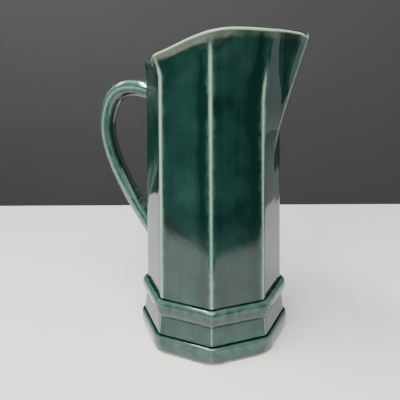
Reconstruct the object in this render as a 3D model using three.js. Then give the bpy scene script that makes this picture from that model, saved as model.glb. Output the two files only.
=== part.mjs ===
// Octagonal slip-cast ceramic pitcher: one tall tapered vessel with a beaded plinth, and a pulled handle.
// Millimetres, +Z up. The origin is on the table, under the middle of the object's length.
// The spout points to +X and the handle to -X, so the XZ plane is the plane of symmetry.
import * as THREE from "three";

// ---- driving dimensions -------------------------------------------------------------------------
const SIDES = 8;
const AXIS_X = 15.1; // vessel axis, ahead of the origin because the handle reaches further than the spout
const LIFT = 3.5; // height the foot band adds below the level that the other pieces are drawn from
const GAP = 0.3; // clearance between pieces that touch on the real object

const wall = {
  bottom: 39.6, // where the wall stands on the bead
  bottomRadius: 53.5, // corner radius of the octagon at that edge, with a small cove above it
  coveHeight: 4.5,
  radius: 52.3, // corner radius at the reference height
  refHeight: 52,
  taper: 0.0365, // corner radius lost for each millimetre of height
  cornerCut: 1.7, // how far the rounding of a vertical edge runs along each flat
  thickness: 4.6,
};
const rim = {
  thickness: 2.8,
  back: 205.0, // height behind the handle
  shoulder: 227.1, // highest stretch, beside the spout
  spoutCorner: 225.5, // height at the two corners beside the spout
  tip: 220.4, // height of the pouring tip
  shoulderAngle: 52, // degrees from the spout, where the rim is highest
  backAngle: 146, // degrees from the spout, where the rim levels out again
  flareHeight: 15,
  flare: 5.6, // how far the lip rolls out at the sides
  flareAtSpout: 4.2,
};
const spout = {
  start: 148, // height where the crease leaves the flat front face
  blend: 7,
  slope: 0.345, // how far the crease moves out for each millimetre of height
  cut: 2.2,
  spread: 4.6, // how far the corners beside the spout are drawn out
  spreadStart: 178,
  spreadHeight: 40,
};
const inside = { floor: 4.5, floorRadius: 42, heel: 9.5 };
const core = { bottom: -1.4, radius: 50.4 }; // the vessel inside its base mouldings
const mouldingBore = 50.8;
const beadProfile = [
  [29.2, 54.9], [31, 56.2], [33.6, 57], [36.4, 57.1], [38.4, 56.7], [39.3, 55.4],
];
const plinthProfile = [
  [11.3, 56.2], [25.4, 54.2], [25.9, 54.8], [28.9, 54.8],
];
const footProfile = [
  [2.1, 58.9], [6, 59.5], [11.4, 59.6], [13.5, 59], [14.5, 57.4],
];
const footRing = { bore: 47.5, inner: 49, lower: 58.4, upper: 58.8, height: 1.8 };
const handle = {
  thickness: 11.6, // across the flats, in the plane of the loop
  width: 12.8, // across the flats, sideways
  path: [[44.5, 180.4], [61.5, 184.2], [84.9, 191.1], [90.6, 155.9], [94.5, 132.1], [72.1, 95.7], [46.6, 62.2]],
  stations: 15, // sections along each half of the loop
};
const joint = { reach: 5.5, lip: 0.9, spread: 3.2 };

// ---- helpers ------------------------------------------------------------------------------------
const smoothstep = THREE.MathUtils.smoothstep;
const lerp = THREE.MathUtils.lerp;
const halfTurn = Math.PI / SIDES;

function wallRadius(z) {
  const straight = wall.radius - wall.taper * (z - wall.refHeight);
  const cove = Math.max(0, 1 - (z - wall.bottom) / wall.coveHeight);
  return straight + (wall.bottomRadius - wall.radius - wall.taper * (wall.refHeight - wall.bottom)) * cove ** 2;
}

function rimHeight(degrees) {
  const angle = Math.abs(degrees);
  if (angle < 180 / SIDES) {
    return rim.spoutCorner - (rim.spoutCorner - rim.tip) * (1 - (angle * SIDES) / 180) ** 2.2;
  }
  if (angle < rim.shoulderAngle) {
    const away = (rim.shoulderAngle - angle) / (rim.shoulderAngle - 180 / SIDES);
    return rim.shoulder - (rim.shoulder - rim.spoutCorner) * away ** 2;
  }
  return lerp(rim.shoulder, rim.back, smoothstep(angle, rim.shoulderAngle, rim.backAngle));
}

// corner of the outer octagon, at a height and a distance below the rim
function cornerRadius(degrees, z, depth) {
  const angle = Math.abs(degrees);
  if (angle === 0) {
    const face = wallRadius(z) * Math.cos(halfTurn);
    return face + spout.slope * spout.blend * Math.log1p(Math.exp((z - spout.start) / spout.blend));
  }
  const roll = Math.max(0, 1 - depth / rim.flareHeight) ** 1.4;
  const besideSpout = angle < 45;
  const flare = besideSpout ? rim.flareAtSpout : rim.flare * (1 - smoothstep(angle, 120, 170));
  const spread = smoothstep(z, spout.spreadStart, spout.spreadStart + spout.spreadHeight);
  return wallRadius(z) + flare * roll + (besideSpout ? spout.spread * spread : 0);
}

const cornerAngles = [0];
for (let k = 0; k < SIDES; k++) {
  cornerAngles.push((360 / SIDES) * (k + 0.5));
}

function signedAngle(degrees) {
  return degrees > 180 ? degrees - 360 : degrees;
}

// moves every corner of a plan outline inwards by one wall thickness
function inset(corners, distance) {
  return corners.map((corner, i) => {
    const before = corners[(i + corners.length - 1) % corners.length];
    const after = corners[(i + 1) % corners.length];
    const into = corner.clone().sub(before).normalize();
    const out = after.clone().sub(corner).normalize();
    const normals = [new THREE.Vector2(-into.y, into.x), new THREE.Vector2(-out.y, out.x)];
    const share = 1 + normals[0].dot(normals[1]);
    return corner.clone().addScaledVector(normals[0].add(normals[1]), distance / share);
  });
}

// walks round a plan outline with every corner rounded off
function roundedOutline(corners, edgeSteps) {
  const points = [];
  corners.forEach((corner, i) => {
    const before = corners[(i + corners.length - 1) % corners.length];
    const after = corners[(i + 1) % corners.length];
    const cut = i === 0 ? spout.cut : wall.cornerCut;
    const nextCut = i === corners.length - 1 ? spout.cut : wall.cornerCut;
    const start = corner.clone().addScaledVector(before.clone().sub(corner).normalize(), cut);
    const end = corner.clone().addScaledVector(after.clone().sub(corner).normalize(), cut);
    const middle = start.clone().add(end).multiplyScalar(0.25).addScaledVector(corner, 0.5);
    const nextStart = after.clone().addScaledVector(corner.clone().sub(after).normalize(), nextCut);
    points.push(start, middle, end);
    for (let k = 1; k < edgeSteps; k++) {
      points.push(end.clone().lerp(nextStart, k / edgeSteps));
    }
  });
  return points;
}

// joins rings of points with quads; the two ends are capped, or a closed loft returns to its first ring
function loft(rings, closed = false) {
  const count = rings[0].length;
  const positions = rings.flat().flatMap((p) => [p.x, p.y, p.z]);
  const faces = [];
  const spans = closed ? rings.length : rings.length - 1;
  for (let r = 0; r < spans; r++) {
    const next = (r + 1) % rings.length;
    for (let k = 0; k < count; k++) {
      const [a, b] = [r * count + k, r * count + ((k + 1) % count)];
      const [c, d] = [next * count + ((k + 1) % count), next * count + k];
      faces.push(a, b, c, a, c, d);
    }
  }
  if (!closed) {
    [0, rings.length - 1].forEach((r, last) => {
      const centre = rings[r].reduce((sum, p) => sum.add(p), new THREE.Vector3()).divideScalar(count);
      const hub = positions.length / 3;
      positions.push(centre.x, centre.y, centre.z);
      for (let k = 0; k < count; k++) {
        const [a, b] = [r * count + k, r * count + ((k + 1) % count)];
        faces.push(hub, last ? a : b, last ? b : a);
      }
    });
  }
  const geometry = new THREE.BufferGeometry();
  geometry.setAttribute("position", new THREE.Float32BufferAttribute(positions, 3));
  geometry.setIndex(faces);
  geometry.computeVertexNormals();
  return geometry;
}

// ---- the vessel ---------------------------------------------------------------------------------
function levelRing(z, radius, edgeSteps) {
  const corners = cornerAngles.map((degrees, i) => {
    const reach = i === 0 ? radius * Math.cos(halfTurn) : radius;
    const angle = THREE.MathUtils.degToRad(degrees);
    return new THREE.Vector2(reach * Math.cos(angle), reach * Math.sin(angle));
  });
  return roundedOutline(corners, edgeSteps).map((p) => new THREE.Vector3(p.x, p.y, z));
}

// a ring of the upper wall: share 0 is level, share 1 follows the sloping rim
function wallRing(base, share, offset, lift, edgeSteps) {
  const edge = (degrees) => lerp(base, rimHeight(degrees) - rim.thickness / 2, share);
  const corners = cornerAngles.map((degrees) => {
    const z = edge(signedAngle(degrees));
    const depth = rimHeight(signedAngle(degrees)) - z;
    const radius = cornerRadius(signedAngle(degrees), z, depth);
    const angle = THREE.MathUtils.degToRad(degrees);
    return new THREE.Vector2(radius * Math.cos(angle), radius * Math.sin(angle));
  });
  const shape = offset > 0 ? inset(corners, offset) : corners;
  return roundedOutline(shape, edgeSteps).map((p) => {
    const degrees = THREE.MathUtils.radToDeg(Math.atan2(p.y, p.x));
    return new THREE.Vector3(p.x, p.y, edge(degrees) + lift);
  });
}

function vesselGeometry() {
  const edgeSteps = 3;
  const upperBase = 120;
  const shares = [0, 0.15, 0.28, 0.4, 0.52, 0.63, 0.73, 0.81, 0.87, 0.92, 0.96, 1];
  const thickness = (share) => lerp(wall.thickness, rim.thickness, share);
  const rings = [
    levelRing(core.bottom, core.radius, edgeSteps),
    levelRing(wall.bottom, core.radius, edgeSteps),
    levelRing(wall.bottom, wall.bottomRadius, edgeSteps),
    levelRing(wall.bottom + wall.coveHeight / 2, wallRadius(wall.bottom + wall.coveHeight / 2), edgeSteps),
    levelRing(wall.bottom + wall.coveHeight, wallRadius(wall.bottom + wall.coveHeight), edgeSteps),
  ];
  shares.forEach((share) => rings.push(wallRing(upperBase, share, 0, 0, edgeSteps)));
  [0.25, 0.5, 0.75].forEach((turn) => {
    const [out, up] = [1 - Math.cos(Math.PI * turn), Math.sin(Math.PI * turn)];
    rings.push(wallRing(upperBase, 1, (rim.thickness / 2) * out, (rim.thickness / 2) * up, edgeSteps));
  });
  shares.toReversed().forEach((share) => rings.push(wallRing(upperBase, share, thickness(share), 0, edgeSteps)));
  const innerRadius = (z) => wallRadius(z) - wall.thickness / Math.cos(halfTurn);
  rings.push(levelRing(wall.bottom + wall.coveHeight, innerRadius(wall.bottom + wall.coveHeight), edgeSteps));
  rings.push(levelRing(inside.heel, core.radius - wall.thickness / Math.cos(halfTurn), edgeSteps));
  rings.push(levelRing(inside.floor, inside.floorRadius, edgeSteps));
  return loft(rings);
}

// an eight-sided moulding round the vessel, from [height, corner radius] points up its outside
function mouldingGeometry(outside, bore, innerLow = bore) {
  const points = outside.map(([z, radius]) => new THREE.Vector2(radius, z));
  points.push(new THREE.Vector2(bore, outside.at(-1)[0]), new THREE.Vector2(innerLow, outside[0][0]));
  points.push(points[0].clone());
  const geometry = new THREE.LatheGeometry(points, SIDES, halfTurn, 2 * Math.PI);
  return geometry.rotateX(Math.PI / 2);
}

// ---- the handle ---------------------------------------------------------------------------------
const [a, b, c, d, e, f, g] = handle.path.map(([out, z]) => new THREE.Vector3(-out, 0, z));
const upperLoop = new THREE.CubicBezierCurve3(a, b, c, d);
const lowerLoop = new THREE.CubicBezierCurve3(d, e, f, g);
const SIDEWAYS = new THREE.Vector3(0, 1, 0);

// the outer face of the wall behind the handle, and the direction it faces
const backFace = (z) => -wallRadius(z) * Math.cos(halfTurn);
const faceNormal = new THREE.Vector3(-1, 0, wall.taper * Math.cos(halfTurn)).normalize();
const facePoint = new THREE.Vector3(backFace(120), 0, 120);

function handleSection(curve, t, grow) {
  const centre = curve.getPoint(t);
  const along = curve.getTangent(t);
  const outwards = new THREE.Vector3().crossVectors(SIDEWAYS, along);
  return Array.from({ length: SIDES }, (_, k) => {
    const angle = (k + 0.5) * 2 * halfTurn;
    const across = (Math.cos(angle) / Math.cos(halfTurn)) * (handle.thickness / 2 + grow);
    const side = (Math.sin(angle) / Math.cos(halfTurn)) * (handle.width / 2 + grow);
    return centre.clone().addScaledVector(outwards, across).addScaledVector(SIDEWAYS, side);
  });
}

// where the handle's centre line is a given distance from the wall
function stationAt(curve, distance, from, to) {
  let [near, far] = [from, to];
  for (let step = 0; step < 40; step++) {
    const middle = (near + far) / 2;
    const away = curve.getPoint(middle).sub(facePoint).dot(faceNormal);
    if (away < distance) {
      near = middle;
    } else {
      far = middle;
    }
  }
  return near;
}

// the handle's section where a plane parallel to the wall cuts it
function cutSection(curve, distance, from, to, grow) {
  const t = stationAt(curve, distance, from, to);
  const along = curve.getTangent(t);
  return handleSection(curve, t, grow).map((p) => {
    const away = p.clone().sub(facePoint).dot(faceNormal);
    return p.addScaledVector(along, (distance - away) / along.dot(faceNormal));
  });
}

function handleGeometry() {
  const cuts = [GAP, joint.reach / 2, joint.reach];
  const rings = cuts.map((distance) => cutSection(upperLoop, distance, 0, 0.5, 0));
  const firstFree = 0.26;
  const lastFree = 0.72;
  for (let k = 0; k <= handle.stations; k++) {
    rings.push(handleSection(upperLoop, lerp(firstFree, 1, k / handle.stations), 0));
  }
  for (let k = 1; k <= handle.stations; k++) {
    rings.push(handleSection(lowerLoop, lerp(0, lastFree, k / handle.stations), 0));
  }
  cuts.toReversed().forEach((distance) => rings.push(cutSection(lowerLoop, distance, 1, 0.5, 0)));
  return loft(rings);
}

// the collar of slip that lutes an end of the handle to the wall
function jointGeometry(curve, from, to) {
  const loop = (distance, grow) => cutSection(curve, distance, from, to, grow);
  const rings = [
    loop(GAP, GAP),
    loop(GAP, GAP + joint.spread),
    loop(joint.reach / 2, GAP + joint.lip + 0.6),
    loop(joint.reach, GAP + joint.lip),
    loop(joint.reach, GAP),
    loop(joint.reach / 2, GAP),
  ];
  return loft(from < to ? rings : rings.toReversed(), true);
}

// ---- the object ---------------------------------------------------------------------------------
const glaze = { color: 0x1c4a3e, roughness: 0.14, metalness: 0 };
const thinGlaze = { color: 0x7f9c86, roughness: 0.18, metalness: 0 };
const bareClay = { color: 0xb59a83, roughness: 0.85, metalness: 0 };

const pieces = {
  body: [vesselGeometry(), glaze],
  bead_band: [mouldingGeometry(beadProfile, mouldingBore), glaze],
  plinth_band: [mouldingGeometry(plinthProfile, mouldingBore), glaze],
  foot_band: [mouldingGeometry(footProfile, mouldingBore), glaze],
  foot_ring: [
    mouldingGeometry([[0, footRing.lower], [footRing.height, footRing.upper]], footRing.bore, footRing.inner),
    bareClay,
  ],
  handle: [handleGeometry(), glaze],
  handle_upper_joint: [jointGeometry(upperLoop, 0, 0.5), thinGlaze],
  handle_lower_joint: [jointGeometry(lowerLoop, 1, 0.5), thinGlaze],
};

const standing = ["foot_band", "foot_ring"];
const group = new THREE.Group();
group.position.set(AXIS_X, 0, 0);
for (const [name, [geometry, finish]] of Object.entries(pieces)) {
  if (!standing.includes(name)) {
    geometry.translate(0, 0, LIFT);
  }
  const mesh = new THREE.Mesh(geometry, new THREE.MeshStandardMaterial(finish));
  mesh.name = name;
  group.add(mesh);
}

export default group;
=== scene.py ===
import math

import bpy
import numpy as np
from mathutils import Matrix, Vector


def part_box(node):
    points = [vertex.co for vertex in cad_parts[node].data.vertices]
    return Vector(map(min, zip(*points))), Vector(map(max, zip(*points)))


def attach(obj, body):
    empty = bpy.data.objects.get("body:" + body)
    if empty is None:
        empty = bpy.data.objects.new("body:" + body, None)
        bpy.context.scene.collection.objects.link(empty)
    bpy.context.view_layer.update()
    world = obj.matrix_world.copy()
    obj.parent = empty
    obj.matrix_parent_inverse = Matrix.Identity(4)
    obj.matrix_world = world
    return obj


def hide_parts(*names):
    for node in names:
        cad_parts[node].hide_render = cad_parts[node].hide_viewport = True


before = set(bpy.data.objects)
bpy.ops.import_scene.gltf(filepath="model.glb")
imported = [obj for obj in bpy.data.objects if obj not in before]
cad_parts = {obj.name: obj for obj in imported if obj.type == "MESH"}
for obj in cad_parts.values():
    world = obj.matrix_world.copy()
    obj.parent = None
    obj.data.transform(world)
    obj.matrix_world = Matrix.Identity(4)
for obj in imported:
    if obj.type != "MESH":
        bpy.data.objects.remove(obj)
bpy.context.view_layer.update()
mm = 0.001
lift = 3.5  # pieces are drawn from a level this far above the table, which the foot band reaches below
print("frame loaded:", sorted(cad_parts))


def nodeBox(name):
    low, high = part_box(name)
    return np.array(low) / mm - [0, 0, lift], np.array(high) / mm - [0, 0, lift]


ringLow, ringHigh = nodeBox("foot_ring")
vesselX = (ringLow[0] + ringHigh[0]) / 2
bodyLow = nodeBox("body")[0]
plinthLow, plinthHigh = nodeBox("plinth_band")
footLow = nodeBox("foot_band")[0]
halfTurn = math.pi / 8
sharpAngle = math.radians(55)


# mesh helpers: everything is worked out in millimetres round the vessel's axis, then placed and lifted
def smoothstep(x, low, high):
    t = np.clip((np.asarray(x, float) - low) / (high - low), 0, 1)
    return t * t * (3 - 2 * t)


def makeMesh(name, points, faces, attributes, materials, faceMaterials=None):
    placed = (np.asarray(points) + [vesselX, 0, lift]) * mm
    mesh = bpy.data.meshes.new(name)
    mesh.from_pydata(placed.tolist(), [], faces)
    for key, values in attributes.items():
        layer = mesh.attributes.new(key, "FLOAT", "POINT")
        layer.data.foreach_set("value", np.asarray(values, np.float32))
    for material in materials:
        mesh.materials.append(material)
    if faceMaterials is not None:
        mesh.polygons.foreach_set("material_index", np.asarray(faceMaterials, np.int32))
    mesh.update()
    mesh.set_sharp_from_angle(angle=sharpAngle)
    piece = bpy.data.objects.new(name, mesh)
    bpy.context.scene.collection.objects.link(piece)
    return piece


def gridFaces(rings, around, closed=False):
    # quads between neighbouring rings; a ring runs anticlockwise seen from outside the end
    faces = []
    for r in range(rings if closed else rings - 1):
        up = (r + 1) % rings
        for k in range(around):
            n = (k + 1) % around
            faces.append((r * around + k, r * around + n, up * around + n, up * around + k))
    return faces


def capFaces(first, around, centre, facingUp):
    faces = []
    for k in range(around):
        a, b = first + k, first + (k + 1) % around
        faces.append((centre, a, b) if facingUp else (centre, b, a))
    return faces


def roundedOutline(corners, cuts, cornerSteps, edgeSteps):
    # walks round a plan outline: the points, each one's nearest corner, distance from it, and edge
    points, nearest, away, edge = [], [], [], []
    count = len(corners)
    for i in range(count):
        corner = corners[i]
        before, after = corners[i - 1], corners[(i + 1) % count]
        toBefore = (before - corner) / np.linalg.norm(before - corner)
        toAfter = (after - corner) / np.linalg.norm(after - corner)
        start, end = corner + toBefore * cuts[i], corner + toAfter * cuts[i]
        for s in range(cornerSteps + 1):
            t = s / cornerSteps
            points.append(start * (1 - t) ** 2 + corner * 2 * t * (1 - t) + end * t * t)
            nearest.append(i)
            away.append(cuts[i] * abs(2 * t - 1))
            edge.append(i if t >= 0.5 else (i - 1) % count)
        stop = after - toAfter * cuts[(i + 1) % count]
        length = np.linalg.norm(after - corner)
        for s in range(1, edgeSteps):
            p = end + (stop - end) * s / edgeSteps
            along = np.linalg.norm(p - corner)
            points.append(p)
            nearest.append(i if along * 2 < length else (i + 1) % count)
            away.append(min(along, length - along))
            edge.append(i)
    return np.array(points), np.array(nearest), np.array(away), np.array(edge)


# camera and stage
view = {
    "distance": 0.3728,
    "height": 0.2304,
    "bearing": 24.155,
    "pan": -1.52,
    "pitch": 18.9,
    "roll": -0.79,
    "lens": 47.07,
}


def makeCamera():
    data = bpy.data.cameras.new("camera")
    data.lens = view["lens"]
    data.sensor_width = 36
    data.clip_start = 0.01
    camera = bpy.data.objects.new("camera", data)
    bpy.context.scene.collection.objects.link(camera)
    turn = Matrix.Rotation(math.radians(view["bearing"]), 3, "Z")
    pan, pitch, roll = (math.radians(view[k]) for k in ("pan", "pitch", "roll"))
    level = math.cos(pitch)
    ahead = turn @ Vector((math.sin(pan) * level, math.cos(pan) * level, -math.sin(pitch)))
    right = ahead.cross(Vector((0, 0, 1))).normalized()
    up = right.cross(ahead)
    tilt = math.cos(roll), math.sin(roll)
    right, up = right * tilt[0] + up * tilt[1], up * tilt[0] - right * tilt[1]
    place = turn @ Vector((0, -view["distance"], view["height"])) + Vector((vesselX * mm, 0, lift * mm))
    basis = Matrix((right, up, -ahead)).transposed().to_4x4()
    camera.matrix_world = Matrix.Translation(place) @ basis
    bpy.context.scene.camera = camera
    return camera


def plainMaterial(name, colour, roughness, grain, fade=None):
    material = bpy.data.materials.new(name)
    material.use_nodes = True
    nodes, links = material.node_tree.nodes, material.node_tree.links
    shader = nodes["Principled BSDF"]
    shader.inputs["Roughness"].default_value = roughness
    coords = nodes.new("ShaderNodeTexCoord")
    noise = nodes.new("ShaderNodeTexNoise")
    noise.inputs["Scale"].default_value = grain
    noise.inputs["Detail"].default_value = 4
    links.new(coords.outputs["Object"], noise.inputs["Vector"])
    ramp = nodes.new("ShaderNodeValToRGB")
    ramp.color_ramp.elements[0].position = 0.3
    ramp.color_ramp.elements[0].color = (*[c * 0.95 for c in colour], 1)
    ramp.color_ramp.elements[1].position = 0.7
    ramp.color_ramp.elements[1].color = (*colour, 1)
    links.new(noise.outputs["Fac"], ramp.inputs["Fac"])
    tone = ramp.outputs["Color"]
    if fade:
        # painted shade: darker towards the table's front edge, well in front of the vessel, in place of the
        # light falling off there
        direction, near, far, dark = fade
        along = nodes.new("ShaderNodeVectorMath")
        along.operation = "DOT_PRODUCT"
        links.new(coords.outputs["Object"], along.inputs[0])
        along.inputs[1].default_value = direction
        shade = nodes.new("ShaderNodeMapRange")
        shade.interpolation_type = "SMOOTHSTEP"
        links.new(along.outputs["Value"], shade.inputs["Value"])
        shade.inputs["From Min"].default_value = near
        shade.inputs["From Max"].default_value = far
        mix = nodes.new("ShaderNodeMix")
        mix.data_type = "RGBA"
        links.new(shade.outputs["Result"], mix.inputs[0])
        links.new(tone, mix.inputs[6])
        mix.inputs[7].default_value = (dark, dark, dark, 1)
        tone = mix.outputs[2]
    links.new(tone, shader.inputs["Base Color"])
    return material


def makePlane(name, corners, material):
    mesh = bpy.data.meshes.new(name)
    mesh.from_pydata(corners, [], [(0, 1, 2, 3)])
    mesh.materials.append(material)
    plane = bpy.data.objects.new(name, mesh)
    bpy.context.scene.collection.objects.link(plane)
    return plane


stageShape = {
    "tableLeft": -0.7,
    "tableRight": 0.27,
    "tableFront": -0.25,
    # painted shade on the floor: it darkens between these distances in front of the vessel
    "fadeNear": 0.185,
    "fadeFar": 0.222,
    "tableBack": 0.289,
    "backdropGap": 0.7,
    "backdropLeft": -1.5,
    "backdropRight": 0.6,
    "backdropLow": -0.6,
    "backdropHigh": 1.2,
    "shadeTone": 0.06,
    "floorColour": (0.82, 0.812, 0.8),
    "floorGrain": 14,
    "backdropColour": (0.045, 0.045, 0.0463),
    "backdropGrain": 6,
    "worldColour": (0.9, 0.95, 1.0, 1),
    "worldStrength": 0.05,
}
# each light: place, target, width, height, power
lightLook = {
    "overhead": ((-0.16, -0.74, 1.02), (0, -0.26, 0), 1.25, 1.25, 43),
    "backLight": ((-0.58, 0.45, 0.76), (-0.28, 0.7, 0.42), 0.3, 0.3, 2.6),
    "strip": ((-0.37, -0.02, 1.05), (0, 0, 0.05), 0.34, 0.05, 8),
    "rightWindow": ((0.905, 0.005, -0.05), (0, 0, -0.05), 0.58, 1.3, 2.2),
    "rightWall": ((0.755, 0.51, -0.05), (0, 0, -0.05), 0.54, 1.3, 0.82),
    "leftWall": ((-1.0, -0.12, 0.2), (0, 0, 0.2), 0.9, 1.3, 1.6),
}


def stageSpot(x, y, z):
    turn = Matrix.Rotation(math.radians(view["bearing"]), 3, "Z")
    return Vector((vesselX * mm, 0, 0)) + turn @ Vector((x, y, z))


def makeStage():
    t = stageShape
    floor = [(t["tableLeft"], t["tableFront"]), (t["tableRight"], t["tableFront"]),
             (t["tableRight"], t["tableBack"]), (t["tableLeft"], t["tableBack"])]
    ahead = stageSpot(0, -1, 0) - stageSpot(0, 0, 0)
    middle = ahead.dot(stageSpot(0, 0, 0))
    fade = (ahead, middle + t["fadeNear"], middle + t["fadeFar"], t["shadeTone"])
    paleFloor = plainMaterial("paleFloor", t["floorColour"], 0.5, t["floorGrain"], fade)
    makePlane("floor", [stageSpot(x, y, 0) for x, y in floor], paleFloor)
    wall = [(t["backdropLeft"], t["backdropLow"]), (t["backdropRight"], t["backdropLow"]),
            (t["backdropRight"], t["backdropHigh"]), (t["backdropLeft"], t["backdropHigh"])]
    makePlane("backdrop", [stageSpot(x, t["backdropGap"], z) for x, z in wall],
              plainMaterial("darkBackdrop", t["backdropColour"], 0.9, t["backdropGrain"]))


def makeLight(name, place, target, width, height, power):
    data = bpy.data.lights.new(name, "AREA")
    data.shape = "RECTANGLE"
    data.size, data.size_y = width, height
    data.energy = power
    light = bpy.data.objects.new(name, data)
    at, to = stageSpot(*place), stageSpot(*target)
    light.location = at
    light.rotation_mode = "QUATERNION"
    light.rotation_quaternion = (to - at).to_track_quat("-Z", "Y")
    bpy.context.scene.collection.objects.link(light)


def makeLights():
    world = bpy.data.worlds.new("studio")
    world.use_nodes = True
    background = world.node_tree.nodes["Background"]
    background.inputs["Color"].default_value = stageShape["worldColour"]
    background.inputs["Strength"].default_value = stageShape["worldStrength"]
    bpy.context.scene.world = world
    for name, (place, target, width, height, power) in lightLook.items():
        makeLight(name, place, target, width, height, power)


makeCamera()
makeStage()
makeLights()
print("stage ready")


# glaze and clay
glazeLook = {
    "deep": (0.0024, 0.0165, 0.0128),
    "body": (0.0076, 0.0325, 0.0252),
    "soft": (0.0155, 0.049, 0.038),
    "teal": (0.041, 0.086, 0.071),
    "mist": (0.12, 0.2, 0.158),
    "thin": (0.285, 0.44, 0.305),
    "olive": (0.16, 0.19, 0.12),
    "cream": (0.31, 0.41, 0.29),
    "poolShade": (0.0006, 0.006, 0.005),
    "roughness": 0.075,
    "rimRoughness": 0.3,
    "ior": 1.55,
    # patterns: the larger the scale, the finer the pattern
    "cloudScale": 26,
    "runScale": 260,
    "grainScale": 95,
    "mottleScale": 420,
    "patchScale": 150,
    "edgeScale": 110,
    "crazeScale": 170,
    "waveScale": 60,
    "skinScale": 1100,
    "bumpDepth": 0.00012,
}
clayLook = {
    "light": (0.3, 0.235, 0.19),
    "dark": (0.17, 0.13, 0.105),
    "roughness": 0.85,
    "grogScale": 420,
    "stainScale": 35,
    "bumpDepth": 0.0002,
}


def mixColour(nodes, links, factor, first, second):
    mix = nodes.new("ShaderNodeMix")
    mix.data_type = "RGBA"
    for socket, value in ((mix.inputs[0], factor), (mix.inputs[6], first), (mix.inputs[7], second)):
        if isinstance(value, bpy.types.NodeSocket):
            links.new(value, socket)
        elif isinstance(value, tuple):
            socket.default_value = (*value, 1)
        else:
            socket.default_value = value
    return mix.outputs[2]


def mathNode(nodes, links, operation, *values):
    node = nodes.new("ShaderNodeMath")
    node.operation = operation
    for socket, value in zip(node.inputs, values):
        if isinstance(value, bpy.types.NodeSocket):
            links.new(value, socket)
        else:
            socket.default_value = value
    return node.outputs[0]


def rangeNode(nodes, links, value, low, high, toLow=0.0, toHigh=1.0):
    node = nodes.new("ShaderNodeMapRange")
    node.interpolation_type = "SMOOTHSTEP"
    for socket, v in zip(node.inputs, (value, low, high, toLow, toHigh)):
        if isinstance(v, bpy.types.NodeSocket):
            links.new(v, socket)
        else:
            socket.default_value = v
    return node.outputs[0]


def noiseNode(nodes, links, vector, scale, detail, stretch=(1, 1, 1)):
    mapping = nodes.new("ShaderNodeMapping")
    mapping.inputs["Scale"].default_value = stretch
    links.new(vector, mapping.inputs["Vector"])
    noise = nodes.new("ShaderNodeTexNoise")
    noise.inputs["Scale"].default_value = scale
    noise.inputs["Detail"].default_value = detail
    links.new(mapping.outputs["Vector"], noise.inputs["Vector"])
    return noise.outputs["Fac"]


def crazeNode(nodes, links, vector, scale):
    cells = nodes.new("ShaderNodeTexVoronoi")
    cells.feature = "DISTANCE_TO_EDGE"
    cells.inputs["Scale"].default_value = scale
    links.new(vector, cells.inputs["Vector"])
    return cells.outputs["Distance"]


def attributeNode(nodes, name):
    node = nodes.new("ShaderNodeAttribute")
    node.attribute_name = name
    return node.outputs["Fac"]


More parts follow.
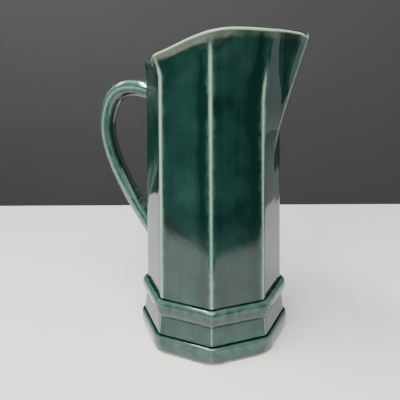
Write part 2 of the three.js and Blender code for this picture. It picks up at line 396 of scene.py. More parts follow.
def glazeMaterial(name):
    look = glazeLook
    material = bpy.data.materials.new(name)
    material.use_nodes = True
    nodes, links = material.node_tree.nodes, material.node_tree.links
    shader = nodes["Principled BSDF"]
    shader.inputs["Roughness"].default_value = look["roughness"]
    shader.inputs["IOR"].default_value = look["ior"]
    coords = nodes.new("ShaderNodeTexCoord").outputs["Object"]
    maths = lambda *given: mathNode(nodes, links, *given)
    ranged = lambda *given: rangeNode(nodes, links, *given)
    noise = lambda *given: noiseNode(nodes, links, coords, *given)
    ridge, rim, poolAndShade, thickAndShade = (attributeNode(nodes, key) for key in ("ridge", "rim", "poolAndShade", "thickAndShade"))

    # depth of the glaze: slow clouds and fine runs down the wall
    cloud = noise(look["cloudScale"], 3)
    runs = noise(look["runScale"], 3, (1, 1, 0.05))
    mottle = noise(look["mottleScale"], 4)
    depth = maths("ADD", maths("MULTIPLY", cloud, 0.64), maths("MULTIPLY", runs, 0.17))
    depth = maths("ADD", depth, maths("MULTIPLY", noise(look["grainScale"], 4), 0.19))
    # painted shade beside the ridges, partly thicker glaze, deepens the colour
    depth = maths("SUBTRACT", depth, maths("MULTIPLY", thickAndShade, 0.2))
    colour = mixColour(nodes, links, ranged(depth, 0.36, 0.52), look["deep"], look["body"])
    colour = mixColour(nodes, links, ranged(depth, 0.5, 0.66), colour, look["soft"])
    # where it draws thin: a cream line on the ridges, an olive band under the rim; these mixes also carry the
    # painted highlights on the crease and under the rim beside the front ridge
    patchy = ranged(noise(look["patchScale"], 4), 0.34, 0.66, 0.45, 1.5)
    uneven = ranged(mottle, 0.3, 0.7, 0.88, 1.06)
    faint = ranged(ridge, 0.42, 0.2)
    uneven = maths("ADD", uneven, maths("MULTIPLY", faint, maths("SUBTRACT", patchy, uneven)))
    broken = maths("MULTIPLY", ridge, uneven)
    for low, high, tone in ((0.03, 0.34, "teal"), (0.3, 0.66, "mist"), (0.6, 1.0, "thin")):
        colour = mixColour(nodes, links, ranged(broken, low, high), colour, look[tone])
    ragged = maths("SUBTRACT", noise(look["edgeScale"], 4), 0.5)
    edge = maths("ADD", rim, maths("MULTIPLY", ragged, 0.8))
    colour = mixColour(nodes, links, maths("MULTIPLY", ranged(edge, 0.15, 0.75), 0.85), colour, look["olive"])
    colour = mixColour(nodes, links, ranged(rim, 0.66, 0.97), colour, look["cream"])
    # darkened towards the pool colour: glaze pooled in grooves and joints, and painted shade on the handle's
    # wall side and under the bead
    colour = mixColour(nodes, links, poolAndShade, colour, look["poolShade"])
    # a fine net of crazing under the surface
    craze = crazeNode(nodes, links, coords, look["crazeScale"])
    colour = mixColour(nodes, links, maths("MULTIPLY", ranged(craze, 0.022, 0.0), 0.3), colour, look["deep"])
    links.new(colour, shader.inputs["Base Color"])
    gloss = ranged(rim, 0.15, 0.6, look["roughness"], look["rimRoughness"])
    links.new(gloss, shader.inputs["Roughness"])

    wave = noise(look["waveScale"], 2)
    skin = noise(look["skinScale"], 2)
    height = maths("ADD", wave, maths("ADD", maths("MULTIPLY", skin, 0.012), maths("MULTIPLY", runs, 0.03)))
    bump = nodes.new("ShaderNodeBump")
    bump.inputs["Strength"].default_value = 1
    bump.inputs["Distance"].default_value = look["bumpDepth"]
    links.new(height, bump.inputs["Height"])
    links.new(bump.outputs["Normal"], shader.inputs["Normal"])
    return material


def clayMaterial(name):
    look = clayLook
    material = bpy.data.materials.new(name)
    material.use_nodes = True
    nodes, links = material.node_tree.nodes, material.node_tree.links
    shader = nodes["Principled BSDF"]
    shader.inputs["Roughness"].default_value = look["roughness"]
    coords = nodes.new("ShaderNodeTexCoord").outputs["Object"]
    grog = noiseNode(nodes, links, coords, look["grogScale"], 6)
    stain = noiseNode(nodes, links, coords, look["stainScale"], 3)
    tone = mathNode(nodes, links, "MULTIPLY", grog, mathNode(nodes, links, "ADD", stain, 0.5))
    colour = mixColour(nodes, links, rangeNode(nodes, links, tone, 0.3, 0.62), look["dark"], look["light"])
    links.new(colour, shader.inputs["Base Color"])
    bump = nodes.new("ShaderNodeBump")
    bump.inputs["Distance"].default_value = look["bumpDepth"]
    links.new(grog, bump.inputs["Height"])
    links.new(bump.outputs["Normal"], shader.inputs["Normal"])
    return material


greenGlaze = glazeMaterial("greenGlaze")
bareClay = clayMaterial("bareClay")


# the vessel: eight flats, a flared sloping rim and a beak drawn out of the front flat
wallShape = {
    "bottom": 39.6,
    "middle": 120,
    "bottomRadius": 52.8,
    "coveHeight": 1.6,
    "radius": 52.3,
    "refHeight": 52,
    "taper": 0.0365,
    "cornerCut": 3.1,
    "thickness": 4.6,
    "coreRadius": 50.4,
    "floor": 4.5,
    "heelRadius": 7,
    "cornerSteps": 8,
    "edgeSteps": 10,
}
rimShape = {
    "thickness": 2.8,
    "back": 205.0,
    "shoulder": 227.1,
    "spoutCorner": 225.5,
    "tip": 220.4,
    "farDip": 1.9,
    "shoulderAngle": 52,
    "backAngle": 146,
    "flareHeight": 15,
    "flarePower": 1.4,
    "flatFlareHeight": 6.5,
    "flatPower": 1.5,
    "flatReach": 8.5,
    "spoutFlatFlareHeight": 24,
    "spoutFlatPower": 1.15,
    "spoutFlatReach": 20,
    "flare": 5.6,
    "flareAtSpout": 4.2,
    "spread": 4.6,
    "spreadStart": 178,
    "spreadHeight": 40,
}
beakShape = {
    "start": 148,
    "blend": 7,
    "slope": 0.33,
    "swell": 0.55,
    "swellFoot": 96,
    "valleyLow": 183,
    "valleyHigh": 219,
    "valleyShareLow": 0.75,
    "valleyShareHigh": 0.33,
    "flankEase": 0.27,
    "cheek": 6.5,
    "cheekShare": 0.78,
    "cheekBulge": 3.7,
    "open": (174, 200),
    "creaseCut": 2.2,
    "cheekCut": 1.4,
    "valleyCut": 2.4,
}
# the glaze over the vessel: each ridge's pale line and halo (the crease's line partly a painted highlight), a
# painted highlight under the rim beside the front ridge, painted shade beside one side of each ridge, and
# where it pools
markShape = {
    "lineWidth": 1.02,
    "lineStrength": 0.95,
    "haloWidth": 2.9,
    "haloStrength": 0.31,
    "broadening": 0.6,
    "broadFrom": (98, 104),
    "broadTo": (119, 125),
    "beakFade": (190, 206),
    "rimFade": (-13, -5),
    "rise": (90, 185),
    "creaseWidth": 1.6,
    "sheenTone": 0.26,
    "sheenStart": (-68, -66),
    "sheenEnd": (-50, -45),
    "sheenTop": (1.5, 3),
    "sheenBottom": (9.5, 12),
    "flankPool": 0.6,
    "flankHeight": (168, 182),
    "grooveFades": (42, 52),
    "shadePlace": 6,
    "shadeWidth": 3.2,
}
ridgeAngles = np.array([22.5 + 45 * k for k in range(8)])
ridgeAngles = np.where(ridgeAngles > 180, ridgeAngles - 360, ridgeAngles)
# corner order: crease, near cheek and valley of the beak, eight ridges, then the other valley and cheek
isRidge = np.array([False] * 3 + [True] * 8 + [False] * 2)
besideBeak = (3, 9)  # the edges of the two flats beside the beak
beakFlanks = (1, 11)  # the edges between a cheek and its valley


def wallRadius(z):
    w = wallShape
    straight = w["radius"] - w["taper"] * (z - w["refHeight"])
    lift = w["bottomRadius"] - w["radius"] - w["taper"] * (w["refHeight"] - w["bottom"])
    return straight + lift * np.clip(1 - (z - w["bottom"]) / w["coveHeight"], 0, 1) ** 2


def rimHeight(degrees):
    r, angle = rimShape, np.abs(degrees)
    atSpout = r["spoutCorner"] - (r["spoutCorner"] - r["tip"]) * np.clip(1 - angle / 22.5, 0, 1) ** 2.2
    away = (r["shoulderAngle"] - angle) / (r["shoulderAngle"] - 22.5)
    beside = r["shoulder"] - (r["shoulder"] - r["spoutCorner"]) * away ** 2
    fall = smoothstep(angle, r["shoulderAngle"], r["backAngle"])
    behind = r["shoulder"] + (r["back"] - r["shoulder"]) * fall
    level = np.where(angle < 22.5, atSpout, np.where(angle < r["shoulderAngle"], beside, behind))
    return level - r["farDip"] * smoothstep(degrees, 2, 24) * (1 - smoothstep(degrees, 46, 92))


def creaseRadius(z):
    b = beakShape
    rise = b["slope"] * b["blend"] * math.log1p(math.exp((z - b["start"]) / b["blend"]))
    swell = b["swell"] * float(smoothstep(z, b["swellFoot"], b["start"]))
    return wallRadius(z) * math.cos(halfTurn) + rise + swell


def ridgeRadius(degrees, z, depth):
    r, angle = rimShape, abs(degrees)
    besideSpout = angle < 45
    flare = r["flareAtSpout"] if besideSpout else r["flare"] * (1 - float(smoothstep(angle, 120, 170)))
    spread = r["spread"] * float(smoothstep(z, r["spreadStart"], r["spreadStart"] + r["spreadHeight"]))
    roll = max(0, 1 - depth / r["flareHeight"]) ** r["flarePower"]
    return wallRadius(z) + flare * roll + (spread if besideSpout else 0), flare


def planOutline(heightAt, rimmed):
    # heightAt gives the ring's height at an angle; rimmed rings know how far they are below the rim
    b = beakShape
    below = lambda degrees, z: float(rimHeight(degrees)) - z if rimmed else 99
    ridges, flares = [], []
    for degrees in ridgeAngles:
        z = float(heightAt(degrees))
        radius, flare = ridgeRadius(degrees, z, below(degrees, z))
        turn = math.radians(degrees)
        ridges.append([radius * math.cos(turn), radius * math.sin(turn)])
        flares.append(flare)
    creaseZ = float(heightAt(0))
    crease = [creaseRadius(creaseZ), 0]
    valleys, cheeks = [], []
    for ridge, degrees in ((ridges[0], 22.5), (ridges[-1], -22.5)):
        ridgeZ = float(heightAt(degrees))
        heights, shares = (b["valleyLow"], b["valleyHigh"]), (b["valleyShareLow"], b["valleyShareHigh"])
        share = np.interp(creaseZ, heights, shares)
        valleyZ = ridgeZ + (creaseZ - ridgeZ) * share
        opened = float(smoothstep(valleyZ, *b["open"]))
        chord = math.atan2(crease[0] - ridge[0], abs(ridge[1]))
        side = math.copysign(1, ridge[1])
        valley = [ridge[0] + math.tan(chord * (1 - b["flankEase"] * opened)) * abs(ridge[1]) * share,
                  ridge[1] * (1 - share)]
        beside = min(b["cheek"], b["cheekShare"] * abs(valley[1]))
        bulge = b["cheekBulge"] * opened * beside / b["cheek"]
        cheek = [crease[0] + (valley[0] - crease[0]) * beside / abs(valley[1]) + bulge, side * beside]
        valleys.append(valley)
        cheeks.append(cheek)
    corners = np.array([crease, cheeks[0], valleys[0], *ridges, valleys[1], cheeks[1]])
    edgeFlare = np.zeros(13)
    edgeFlare[3:10] = [(flares[k] + flares[k + 1]) / 2 for k in range(7)]
    return corners, edgeFlare


def insetCorners(corners, distance):
    moved = []
    for i, corner in enumerate(corners):
        into = corner - corners[i - 1]
        out = corners[(i + 1) % len(corners)] - corner
        a = np.array([-into[1], into[0]]) / np.linalg.norm(into)
        b = np.array([-out[1], out[0]]) / np.linalg.norm(out)
        moved.append(corner + (a + b) * distance / (1 + a @ b))
    return np.array(moved)


def wallRing(heightAt, offset=0.0, rimmed=True, raised=0.0, scale=1.0, cut=None):
    w, r, b = wallShape, rimShape, beakShape
    corners, edgeFlare = planOutline(heightAt, rimmed)
    if offset > 0:
        corners = insetCorners(corners, offset)
    corners = corners * scale
    cuts = np.where(isRidge, cut or w["cornerCut"], b["valleyCut"])
    cuts[[1, 12]] = b["cheekCut"]
    cuts[0] = b["creaseCut"]
    sides = np.roll(corners, -1, axis=0) - corners
    lengths = np.linalg.norm(sides, axis=1)
    cuts = np.minimum(cuts, 0.46 * np.minimum(lengths, np.roll(lengths, 1)))
    plan, nearest, away, edge = roundedOutline(corners, cuts, w["cornerSteps"], w["edgeSteps"])
    degrees = np.degrees(np.arctan2(plan[:, 1], plan[:, 0]))
    height = heightAt(degrees)
    if rimmed:
        # the middle of each flat stays upright nearly to the rim, where the ridges have long begun to flare
        depth = rimHeight(degrees) - height
        early = np.clip(1 - depth / r["flareHeight"], 0, 1) ** r["flarePower"]
        besideSpout = np.isin(edge, besideBeak)
        flatHeight = np.where(besideSpout, r["spoutFlatFlareHeight"], r["flatFlareHeight"])
        flatPower = np.where(besideSpout, r["spoutFlatPower"], r["flatPower"])
        late = np.clip(1 - depth / flatHeight, 0, 1) ** flatPower
        reach = np.where(besideSpout, r["spoutFlatReach"], r["flatReach"])
        sag = edgeFlare[edge] * (early - late) * math.cos(halfTurn) * smoothstep(away, 0.5, reach)
        outward = np.column_stack([sides[:, 1], -sides[:, 0]]) / lengths[:, None]
        plan = plan - outward[edge] * sag[:, None]
    return np.column_stack([plan, height + raised]), nearest, away, degrees, edge


def levelRing(z, offset=0.0, scale=1.0, cut=None):
    return wallRing(lambda degrees: z + 0 * degrees, offset, False, 0.0, scale, cut)


def makeVessel():
    w, r, b, m = wallShape, rimShape, beakShape, markShape
    rings, ridge, rim, poolAndShade, thickAndShade = [], [], [], [], []

    def add(ring, marked, band, poolShade):
        points, nearest, away, degrees, edge = ring
        z = points[:, 2]
        onRidge = isRidge[nearest]
        depth = rimHeight(degrees) - z
        # the pale line is drawn wider on the ridge round -112.5 degrees
        widened = smoothstep(-degrees, *m["broadFrom"]) * (1 - smoothstep(-degrees, *m["broadTo"]))
        broad = m["lineWidth"] + m["broadening"] * widened
        core = m["lineStrength"] * np.exp(-((away / broad) ** 2))
        core = core + m["haloStrength"] * np.exp(-((away / m["haloWidth"]) ** 2))
        nearBeak = (np.abs(degrees) < 34) & onRidge
        fadeAtBeak = 1 - 0.85 * smoothstep(z, *m["beakFade"])
        fade = np.where(nearBeak, fadeAtBeak, 1 - 0.5 * smoothstep(-depth, *m["rimFade"]))
        # the crease's pale line: partly thin glaze on the edge, partly a painted highlight
        creaseCore = np.exp(-((away / m["creaseWidth"]) ** 2))
        creaseCore = creaseCore * smoothstep(z, b["start"] - 10, b["start"] + 6)
        mark = np.where(onRidge, core * fade, np.where(nearest == 0, creaseCore, 0))
        mark = mark * (0.76 + 0.24 * smoothstep(z, *m["rise"]))
        rings.append(points)
        ridge.append(np.clip(mark * marked, 0, 1))
        strength = 0.66 + 0.34 * smoothstep(-degrees, 60, 72) - 0.5 * smoothstep(np.abs(degrees), 132, 160)
        line = smoothstep(band, 0.6, 0.95)
        edgeTone = band * (strength + (1 - strength) * line)
        edgeTone = edgeTone * (1 - 0.8 * smoothstep(np.abs(degrees), 118, 140))
        # painted highlight: a pale triangle under the rim beside the front ridge, in place of a reflection
        # there, mixed in like thin glaze
        sheen = smoothstep(degrees, *m["sheenStart"]) * (1 - smoothstep(degrees + 1.25 * depth, *m["sheenEnd"]))
        sheen = sheen * smoothstep(depth, *m["sheenTop"]) * (1 - smoothstep(depth, *m["sheenBottom"]))
        sheen = sheen * (marked > 0)
        rim.append(np.clip(edgeTone + m["sheenTone"] * sheen, 0, 1))
        flank = np.isin(edge, beakFlanks) * smoothstep(away, 0.2, 2)
        flank = flank * smoothstep(z, *m["flankHeight"]) * (marked > 0)
        sunk = np.clip(poolShade, 0, 1) * (1 - 0.65 * smoothstep(np.abs(degrees + 67.5), *m["grooveFades"]))
        poolAndShade.append(np.maximum(sunk, m["flankPool"] * flank))
        # painted shade, partly thicker glaze: the flats are darkened a little way from each ridge, mostly on
        # one side of it
        oneSided = np.where((nearest != edge) & onRidge, 1, 0.25 * onRidge)
        besideRidge = np.exp(-(((away - m["shadePlace"]) / m["shadeWidth"]) ** 2))
        thickAndShade.append(oneSided * besideRidge * (marked > 0))

    coreShare = w["coreRadius"] / wallRadius(w["bottom"])
    add(levelRing(w["bottom"], 0, coreShare), 0, 0, 0)
    rings[0][:, 2] = bodyLow[2]
    add(levelRing(w["bottom"], 0, coreShare), 0, 0, 1)
    rings[1][:, 2] = w["bottom"] - 0.6
    add(levelRing(w["bottom"], 0, 1 - 1.6 / w["bottomRadius"]), 0, 0, 1)
    rings[2][:, 2] = w["bottom"] - 0.5
    for t in np.linspace(0, 1, 5):
        turn = t * math.pi / 2
        shrink = 1 - 0.6 * (1 - math.sin(turn)) / w["bottomRadius"]
        add(levelRing(w["bottom"], 0, shrink), 1, 0, 0.9 * (1 - t))
        rings[-1][:, 2] = w["bottom"] - 0.4 + 0.6 * (1 - math.cos(turn))
    for z in np.linspace(w["bottom"] + 0.5, w["bottom"] + w["coveHeight"], 8):
        add(levelRing(z), 1, 0, 0)
    upperBase = w["middle"]
    for z in np.linspace(w["bottom"] + w["coveHeight"], upperBase, 26)[1:-1]:
        add(levelRing(z), 1, 0, 0)

    crown = r["thickness"] / 2
    ringAt = lambda share: (lambda degrees: upperBase + (rimHeight(degrees) - crown - upperBase) * share)
    thinEdge = lambda depth: 0.45 * float(smoothstep(depth, 0, 0.9))
    bandAt = lambda depth: 1 - thinEdge(depth) - 0.55 * float(smoothstep(depth, 2, 7.5))
    shares = list(np.linspace(0, 0.84, 38)) + list(np.linspace(0.84, 1, 30)[1:])
    for share in shares:
        add(wallRing(ringAt(share)), 1, bandAt((1 - share) * 100), 0)
    for t in np.linspace(0, 1, 12)[1:-1]:
        back, up = 1 - math.cos(math.pi * t), math.sin(math.pi * t)
        add(wallRing(ringAt(1), crown * back, True, crown * up), 0, 1 - float(smoothstep(t, 0.25, 0.55)), 0)
    for share in reversed(shares[::2]):
        thickness = r["thickness"] + (w["thickness"] - r["thickness"]) * min(1, (1 - share) * 3)
        add(wallRing(ringAt(share), thickness), 0, 0.25 * math.exp(-(((1 - share) * 100 / 2.5) ** 2)), 0)
    for z in np.linspace(upperBase, w["bottom"] + w["coveHeight"], 16)[1:]:
        add(levelRing(z, w["thickness"]), 0, 0, 0)
    heelTop = w["floor"] + w["heelRadius"]
    innerRadius = wallRadius(w["bottom"] + w["coveHeight"]) - w["thickness"] / math.cos(halfTurn)
    for t in np.linspace(0, 1, 9):
        turn = t * math.pi / 2
        shrink = 1 - (w["heelRadius"] * (1 - math.cos(turn)) + 3 * t) / innerRadius
        inner = levelRing(w["bottom"] + w["coveHeight"], w["thickness"], shrink, w["cornerCut"] + 3 * t)
        add(inner, 0, 0, 0.4 * t)
        rings[-1][:, 2] = heelTop - w["heelRadius"] * math.sin(turn)

    around = len(rings[0])
    points = np.concatenate(rings)
    faces = gridFaces(len(rings), around)
    points = np.concatenate([points, [[0, 0, bodyLow[2]], [0, 0, w["floor"]]]])
    faces += capFaces(0, around, len(points) - 2, False)
    faces += capFaces((len(rings) - 1) * around, around, len(points) - 1, True)
    marks = {
        "ridge": np.concatenate(ridge + [np.zeros(2)]),
        "rim": np.concatenate(rim + [np.zeros(2)]),
        "poolAndShade": np.concatenate(poolAndShade + [np.array([0, 0.4])]),
        "thickAndShade": np.concatenate(thickAndShade + [np.zeros(2)]),
    }
    return makeMesh("vessel", points, faces, marks, [greenGlaze])


vessel = makeVessel()
print("vessel made:", len(vessel.data.polygons), "faces")


# base mouldings: closed eight-sided rings from a fine profile
def octagonRing(radius, z, cut, cornerSteps=10, edgeSteps=12):
    turn = np.radians(ridgeAngles)
    corners = np.stack([radius * np.cos(turn), radius * np.sin(turn)], axis=1)
    plan, _, away, _ = roundedOutline(corners, [cut] * 8, cornerSteps, edgeSteps)
    return np.column_stack([plan, np.full(len(plan), z)]), away


def smoothProfile(points, steps):
    # Catmull-Rom through the profile's rows
    rows = np.array(points, float)
    padded = np.vstack([2 * rows[0] - rows[1], rows, 2 * rows[-1] - rows[-2]])
    out = []
    for i in range(1, len(padded) - 2):
        p0, p1, p2, p3 = padded[i - 1 : i + 3]
        for s in range(steps):
            t = s / steps
            out.append(0.5 * (2 * p1 + (p2 - p0) * t + (2 * p0 - 5 * p1 + 4 * p2 - p3) * t * t
                              + (3 * p1 - p0 - 3 * p2 + p3) * t ** 3))
    out.append(rows[-1])
    return np.array(out)


def makeMoulding(name, profile, bore, material, base=0.1, marked=0.75, steps=5):
    # each profile row: height, corner radius, corner cut, how thin the glaze is, and how dark it is drawn
    # from pooled glaze and painted shade
    rings, ridge, poolAndShade = [], [], []
    for z, radius, cut, pale, poolShade in smoothProfile(profile, steps):
        points, away = octagonRing(radius, z, cut)
        mark = np.exp(-((away / 0.7) ** 2)) * marked * (1 - np.clip(poolShade, 0, 1))
        rings.append(points)
        ridge.append(np.clip(np.maximum(mark, base + pale), 0, 1))
        poolAndShade.append(np.full(len(points), np.clip(poolShade, 0, 1)))
    for z in (profile[-1][0], profile[0][0]):
        points, away = octagonRing(bore, z, 2)
        rings.append(points)
        ridge.append(np.zeros(len(points)))
        poolAndShade.append(np.ones(len(points)))
    faces = gridFaces(len(rings), len(rings[0]), closed=True)
    marks = {"ridge": np.concatenate(ridge), "poolAndShade": np.concatenate(poolAndShade)}
    marks["rim"] = marks["thickAndShade"] = np.zeros(len(marks["ridge"]))
    return makeMesh(name, np.concatenate(rings), faces, marks, [material])


bore = 50.8
# painted shade: the bead's lower rows, down to the plinth, are darkened under its bulge
beadRows = [
    [plinthHigh[2], 55.9, 2.9, 0, 0.3], [30.2, 56.3, 3.0, 0, 0.32], [31.6, 56.65, 3.2, 0, 0.3],
    [33.3, 56.95, 3.5, 0.02, 0.18], [34.9, 57.05, 3.7, 0.04, 0.05],
    [36.5, 56.8, 3.8, 0.08, 0], [37.7, 56.25, 3.8, 0.16, 0], [38.5, 55.4, 3.6, 0.2, 0],
    [38.95, 54.5, 3.2, 0.16, 0], [38.9, 53.7, 3.0, 0.08, 0.35], [38.8, 52.2, 2.8, 0, 1],
]
plinthRows = [
    [plinthLow[2], 55.6, 2.6, 0, 1], [11.5, 56.1, 2.6, 0.2, 0.5], [12.2, 56.2, 2.6, 0.2, 0],
    [13.2, 55.9, 2.6, 0.05, 0], [18, 55.2, 2.6, 0, 0], [24.7, 54.3, 2.6, 0, 0],
    [25.2, 54.12, 2.6, 0, 0.75], [25.6, 54.4, 2.6, 0.1, 0.2], [26.2, 54.75, 2.6, 0.1, 0.1],
    [27.4, 55.3, 2.7, 0.1, 0.22], [plinthHigh[2], 55.9, 2.9, 0.1, 0.3],
]
footRows = [
    [footLow[2], 58.5, 8, 0, 0], [-0.4, 58.9, 7.6, 0, 0], [3, 59.35, 7, 0, 0], [5.2, 59.45, 6.6, 0, 0],
    [7.4, 59.4, 6, 0.05, 0], [9.0, 59.0, 4.6, 0.2, 0], [10.1, 58.2, 3.8, 0.24, 0],
    [10.7, 57.2, 3.2, 0.1, 0.7], [10.7, 56.2, 3, 0, 1], [10.5, 54.5, 2.8, 0, 1],
]
ringRows = [
    [ringLow[2], 57.4, 8.5, 0, 0], [ringLow[2] + 0.4, 58.0, 8.3, 0, 0], [ringLow[2] + 1.2, 58.3, 8.2, 0, 0],
    [ringHigh[2], 58.4, 8, 0, 0],
]
beadBand = makeMoulding("beadBand", beadRows, bore, greenGlaze, 0.13, 0.5)
plinthBand = makeMoulding("plinthBand", plinthRows, bore, greenGlaze, 0.03)
footBand = makeMoulding("footBand", footRows, bore, greenGlaze, 0.13, 0.35)
footRing = makeMoulding("footRing", ringRows, 48, bareClay)
print("base mouldings made")


# the handle: an eight-sided bar swept along its loop by geometry nodes
handleShape = {
    "thickness": 11.5,
    "width": 12.8,
    "edgeRadius": 2.7,
    "path": [(44.5, 180.4), (61.5, 184.2), (84.9, 191.1), (90.6, 155.9), (94.5, 132.1), (72.1, 95.7),
             (46.6, 62.2)],
    "halfway": 130,
    "steps": 150,
    "sunkInWall": 1.2,
    "upperStub": 9,
    "lowerStub": 14,
    "loopMiddle": (-62, 0, 135),
}
faceNormal = np.array([-1, 0, wallShape["taper"] * math.cos(halfTurn)])
faceNormal /= np.linalg.norm(faceNormal)
facePoint = np.array([-wallRadius(wallShape["middle"]) * math.cos(halfTurn), 0, wallShape["middle"]])


def bezier(points, t):
    a, b, c, d = (np.array([-p[0], 0, p[1]], float) for p in points)
    u = 1 - t
    place = a * u ** 3 + 3 * b * u * u * t + 3 * c * u * t * t + d * t ** 3
    along = 3 * ((b - a) * u * u + 2 * (c - b) * u * t + (d - c) * t * t)
    return place, along / np.linalg.norm(along)


def handleTree():
    tree = bpy.data.node_groups.new("handleSweep", "GeometryNodeTree")
    face = tree.interface
    face.new_socket("Geometry", in_out="INPUT", socket_type="NodeSocketGeometry")
    for label, value in (("Thickness", 0.0116), ("Width", 0.0128), ("Edge radius", 0.0015)):
        socket = face.new_socket(label, in_out="INPUT", socket_type="NodeSocketFloat")
        socket.default_value = value
    face.new_socket("Steps", in_out="INPUT", socket_type="NodeSocketInt").default_value = 120
    face.new_socket("Finish", in_out="INPUT", socket_type="NodeSocketMaterial")
    face.new_socket("Geometry", in_out="OUTPUT", socket_type="NodeSocketGeometry")
    nodes, links = tree.nodes, tree.links
    given, result = nodes.new("NodeGroupInput"), nodes.new("NodeGroupOutput")
    path = nodes.new("GeometryNodeResampleCurve")
    links.new(given.outputs["Geometry"], path.inputs["Curve"])
    links.new(given.outputs["Steps"], path.inputs["Count"])
    octagon = nodes.new("GeometryNodeCurvePrimitiveCircle")
    octagon.inputs["Resolution"].default_value = 8
    octagon.inputs["Radius"].default_value = 0.5 / math.cos(halfTurn)
    squared = nodes.new("GeometryNodeTransform")
    squared.inputs["Rotation"].default_value = (0, 0, halfTurn)
    links.new(octagon.outputs["Curve"], squared.inputs["Geometry"])
    sized = nodes.new("GeometryNodeTransform")
    scale = nodes.new("ShaderNodeCombineXYZ")
    links.new(given.outputs["Width"], scale.inputs["X"])
    links.new(given.outputs["Thickness"], scale.inputs["Y"])
    scale.inputs["Z"].default_value = 1
    links.new(scale.outputs["Vector"], sized.inputs["Scale"])
    links.new(squared.outputs["Geometry"], sized.inputs["Geometry"])
    rounded = nodes.new("GeometryNodeFilletCurve")
    rounded.mode = "POLY"
    rounded.inputs["Count"].default_value = 5
    links.new(sized.outputs["Geometry"], rounded.inputs["Curve"])
    links.new(given.outputs["Edge radius"], rounded.inputs["Radius"])
    around = nodes.new("GeometryNodeStoreNamedAttribute")
    around.data_type = "FLOAT"
    around.inputs["Name"].default_value = "around"
    links.new(rounded.outputs["Curve"], around.inputs["Geometry"])
    links.new(nodes.new("GeometryNodeSplineParameter").outputs["Factor"], around.inputs["Value"])
    sweep = nodes.new("GeometryNodeCurveToMesh")
    sweep.inputs["Fill Caps"].default_value = True
    links.new(path.outputs["Curve"], sweep.inputs["Curve"])
    links.new(around.outputs["Geometry"], sweep.inputs["Profile Curve"])
    real = nodes.new("GeometryNodeRealizeInstances")
    finish = nodes.new("GeometryNodeSetMaterial")
    links.new(sweep.outputs["Mesh"], real.inputs["Geometry"])
    links.new(real.outputs["Geometry"], finish.inputs["Geometry"])
    links.new(given.outputs["Finish"], finish.inputs["Material"])
    links.new(finish.outputs["Geometry"], result.inputs["Geometry"])
    return tree


def handlePath():
    curve = bpy.data.curves.new("handlePath", "CURVE")
    curve.dimensions = "3D"
    spline = curve.splines.new("POLY")
    samples = []
    for points in (handleShape["path"][:4], handleShape["path"][3:]):
        samples += [bezier(points, t)[0] for t in np.linspace(0, 1, 80)]
    first, last = bezier(handleShape["path"][:4], 0), bezier(handleShape["path"][3:], 1)
    start = first[0] - first[1] * handleShape["upperStub"]
    end = last[0] + last[1] * handleShape["lowerStub"]
    samples = [start] + samples[:80] + samples[81:] + [end]
    spline.points.add(len(samples) - 1)
    for point, place in zip(spline.points, samples):
        x, y, z = (place + [vesselX, 0, lift]) * mm
        point.co = (x, y, z, 1)
    return bpy.data.objects.new("handlePath", curve)


def makeHandle():
    path = handlePath()
    bpy.context.scene.collection.objects.link(path)
    tree = handleTree()
    sweep = path.modifiers.new("sweep", "NODES")
    sweep.node_group = tree
    values = {
        "Thickness": handleShape["thickness"] * mm,
        "Width": handleShape["width"] * mm,
        "Edge radius": handleShape["edgeRadius"] * mm,
        "Steps": handleShape["steps"],
        "Finish": greenGlaze,
    }
    for item in tree.interface.items_tree:
        if item.item_type == "SOCKET" and item.in_out == "INPUT" and item.name in values:
            sweep[item.identifier] = values[item.name]
    bpy.context.view_layer.update()
    graph = bpy.context.evaluated_depsgraph_get()
    mesh = bpy.data.meshes.new_from_object(path.evaluated_get(graph), depsgraph=graph)
    bpy.data.objects.remove(path)
    # the two ends are pulled back to a plane just inside the wall's outer face
    points = np.zeros(len(mesh.vertices) * 3)
    mesh.vertices.foreach_get("co", points)
    points = points.reshape(-1, 3) / mm - [vesselX, 0, lift]
    inside = (points - facePoint) @ faceNormal + handleShape["sunkInWall"]
    for source, end in ((handleShape["path"][:4], 0), (handleShape["path"][3:], 1)):
        along = bezier(source, end)[1]
        above = points[:, 2] > handleShape["halfway"]
        below = points[:, 2] < handleShape["halfway"]
        near = (inside < 0) & (above if end == 0 else below)
        points[near] -= np.outer(inside[near] / (along @ faceNormal), along)
    mesh.vertices.foreach_set("co", ((points + [vesselX, 0, lift]) * mm).ravel())
    around = np.zeros(len(mesh.vertices), np.float32)
    mesh.attributes["around"].data.foreach_get("value", around)
    mesh.attributes.remove(mesh.attributes["around"])
    phase = np.abs((around * 8 + 0.5) % 1 - 0.5)
    # painted shade: the side facing the wall is darkened and its pale edges dimmed
    halves = (handleShape["path"][:4], handleShape["path"][3:])
    middle = np.array([bezier(half, t)[0] for half in halves for t in np.linspace(0, 1, 60)])
    nearest = middle[np.argmin(((points[:, None, :] - middle[None, :, :]) ** 2).sum(axis=2), axis=1)]
    inwards = np.array(handleShape["loopMiddle"]) - nearest
    inwards /= np.linalg.norm(inwards, axis=1)[:, None]
    facing = ((points - nearest) * inwards).sum(axis=1) / (handleShape["thickness"] / 2)
    marks = {
        "ridge": (0.27 + 0.5 * np.exp(-((phase / 0.08) ** 2))) * (1 - 0.6 * smoothstep(facing, 0.4, 0.8)),
        "rim": np.zeros(len(mesh.vertices)),
        "poolAndShade": 0.8 * smoothstep(facing, 0.45, 0.9),
        "thickAndShade": np.zeros(len(mesh.vertices)),
    }
    for key, values in marks.items():
        mesh.attributes.new(key, "FLOAT", "POINT").data.foreach_set("value", values.astype(np.float32))
    mesh.polygons.foreach_set("use_smooth", np.ones(len(mesh.polygons), bool))
    mesh.name = "handleBar"
    handle = bpy.data.objects.new("handleBar", mesh)
    bpy.context.scene.collection.objects.link(handle)
    return handle


handleBar = makeHandle()
print("handle made:", len(handleBar.data.polygons), "faces")


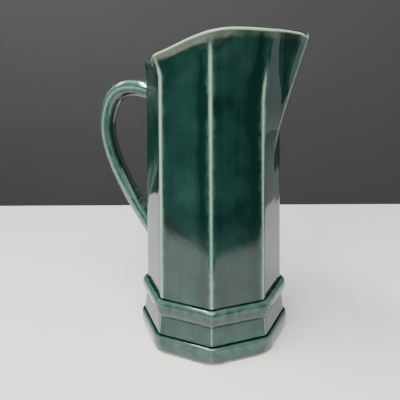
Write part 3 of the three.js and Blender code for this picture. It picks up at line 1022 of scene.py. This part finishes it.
# the slip joints: a hollow fillet from the bar to the wall at each end
jointShape = {
    "reach": 5.5,
    "spread": 3.0,
    "rings": 10,
    "sunkInBar": 0.15,
    "footDepth": 0.3,
    "backDepth": 0.8,
    "boreDepth": 2.5,
}


def barSection(source, t, grow=0.0):
    centre, along = bezier(source, t)
    outwards = np.cross([0, 1, 0], along)
    turn = np.radians([45 * (k + 0.5) for k in range(8)])
    reach = np.stack([np.cos(turn) * (handleShape["thickness"] / 2 + grow),
                      np.sin(turn) * (handleShape["width"] / 2 + grow)], axis=1) / math.cos(halfTurn)
    plan = roundedOutline(reach, [handleShape["edgeRadius"] * 0.41] * 8, 4, 5)[0]
    return centre + np.outer(plan[:, 0], outwards) + np.outer(plan[:, 1], [0, 1, 0]), along


def makeJoint(name, source, near, far):
    def cut(distance, grow=0.0):
        low, high = near, far
        for _ in range(40):
            middle = (low + high) / 2
            if (bezier(source, middle)[0] - facePoint) @ faceNormal < distance:
                low = middle
            else:
                high = middle
        points, along = barSection(source, low, grow)
        shift = (distance - (points - facePoint) @ faceNormal) / (along @ faceNormal)
        return points + np.outer(shift, along)

    j = jointShape
    barEnd = cut(j["reach"], -j["sunkInBar"])
    corner = cut(0.0, -j["sunkInBar"])
    foot = cut(-j["footDepth"], -j["sunkInBar"])
    middle = foot.mean(axis=0)
    outward = foot - middle
    foot = foot + outward / np.linalg.norm(outward, axis=1)[:, None] * jointShape["spread"]
    rings = []
    for t in np.linspace(0, 1, jointShape["rings"]):
        rings.append(barEnd * (1 - t) ** 2 + corner * 2 * t * (1 - t) + foot * t * t)
    back = cut(-j["backDepth"], -j["boreDepth"])
    front = cut(j["reach"], -j["boreDepth"])
    rings += [back, front]
    if near < far:
        rings = rings[::-1]
    around = len(barEnd)
    faces = gridFaces(len(rings), around, closed=True)
    poolShade = [0.35 * math.sin(math.pi * t) for t in np.linspace(0, 1, jointShape["rings"])] + [0, 0]
    pale = [0.3] * jointShape["rings"] + [0, 0]
    if near < far:
        poolShade, pale = poolShade[::-1], pale[::-1]
    marks = {"ridge": np.repeat(pale, around), "poolAndShade": np.repeat(poolShade, around)}
    marks["rim"] = marks["thickAndShade"] = np.zeros(around * len(rings))
    return makeMesh(name, np.concatenate(rings), faces, marks, [greenGlaze])


upperJoint = makeJoint("upperJoint", handleShape["path"][:4], 0.0, 0.5)
lowerJoint = makeJoint("lowerJoint", handleShape["path"][3:], 1.0, 0.5)
print("joints made")


pieces = [
    (vessel, "body", "green_glaze"),
    (beadBand, "bead_band", "green_glaze"),
    (plinthBand, "plinth_band", "green_glaze"),
    (footBand, "foot_band", "green_glaze"),
    (footRing, "foot_ring", "bare_clay"),
    (handleBar, "handle", "green_glaze"),
    (upperJoint, "handle_upper_joint", "green_glaze"),
    (lowerJoint, "handle_lower_joint", "green_glaze"),
]
for piece, node, slot in pieces:
    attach(piece, "root")
    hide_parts(node)

print("pieces placed")
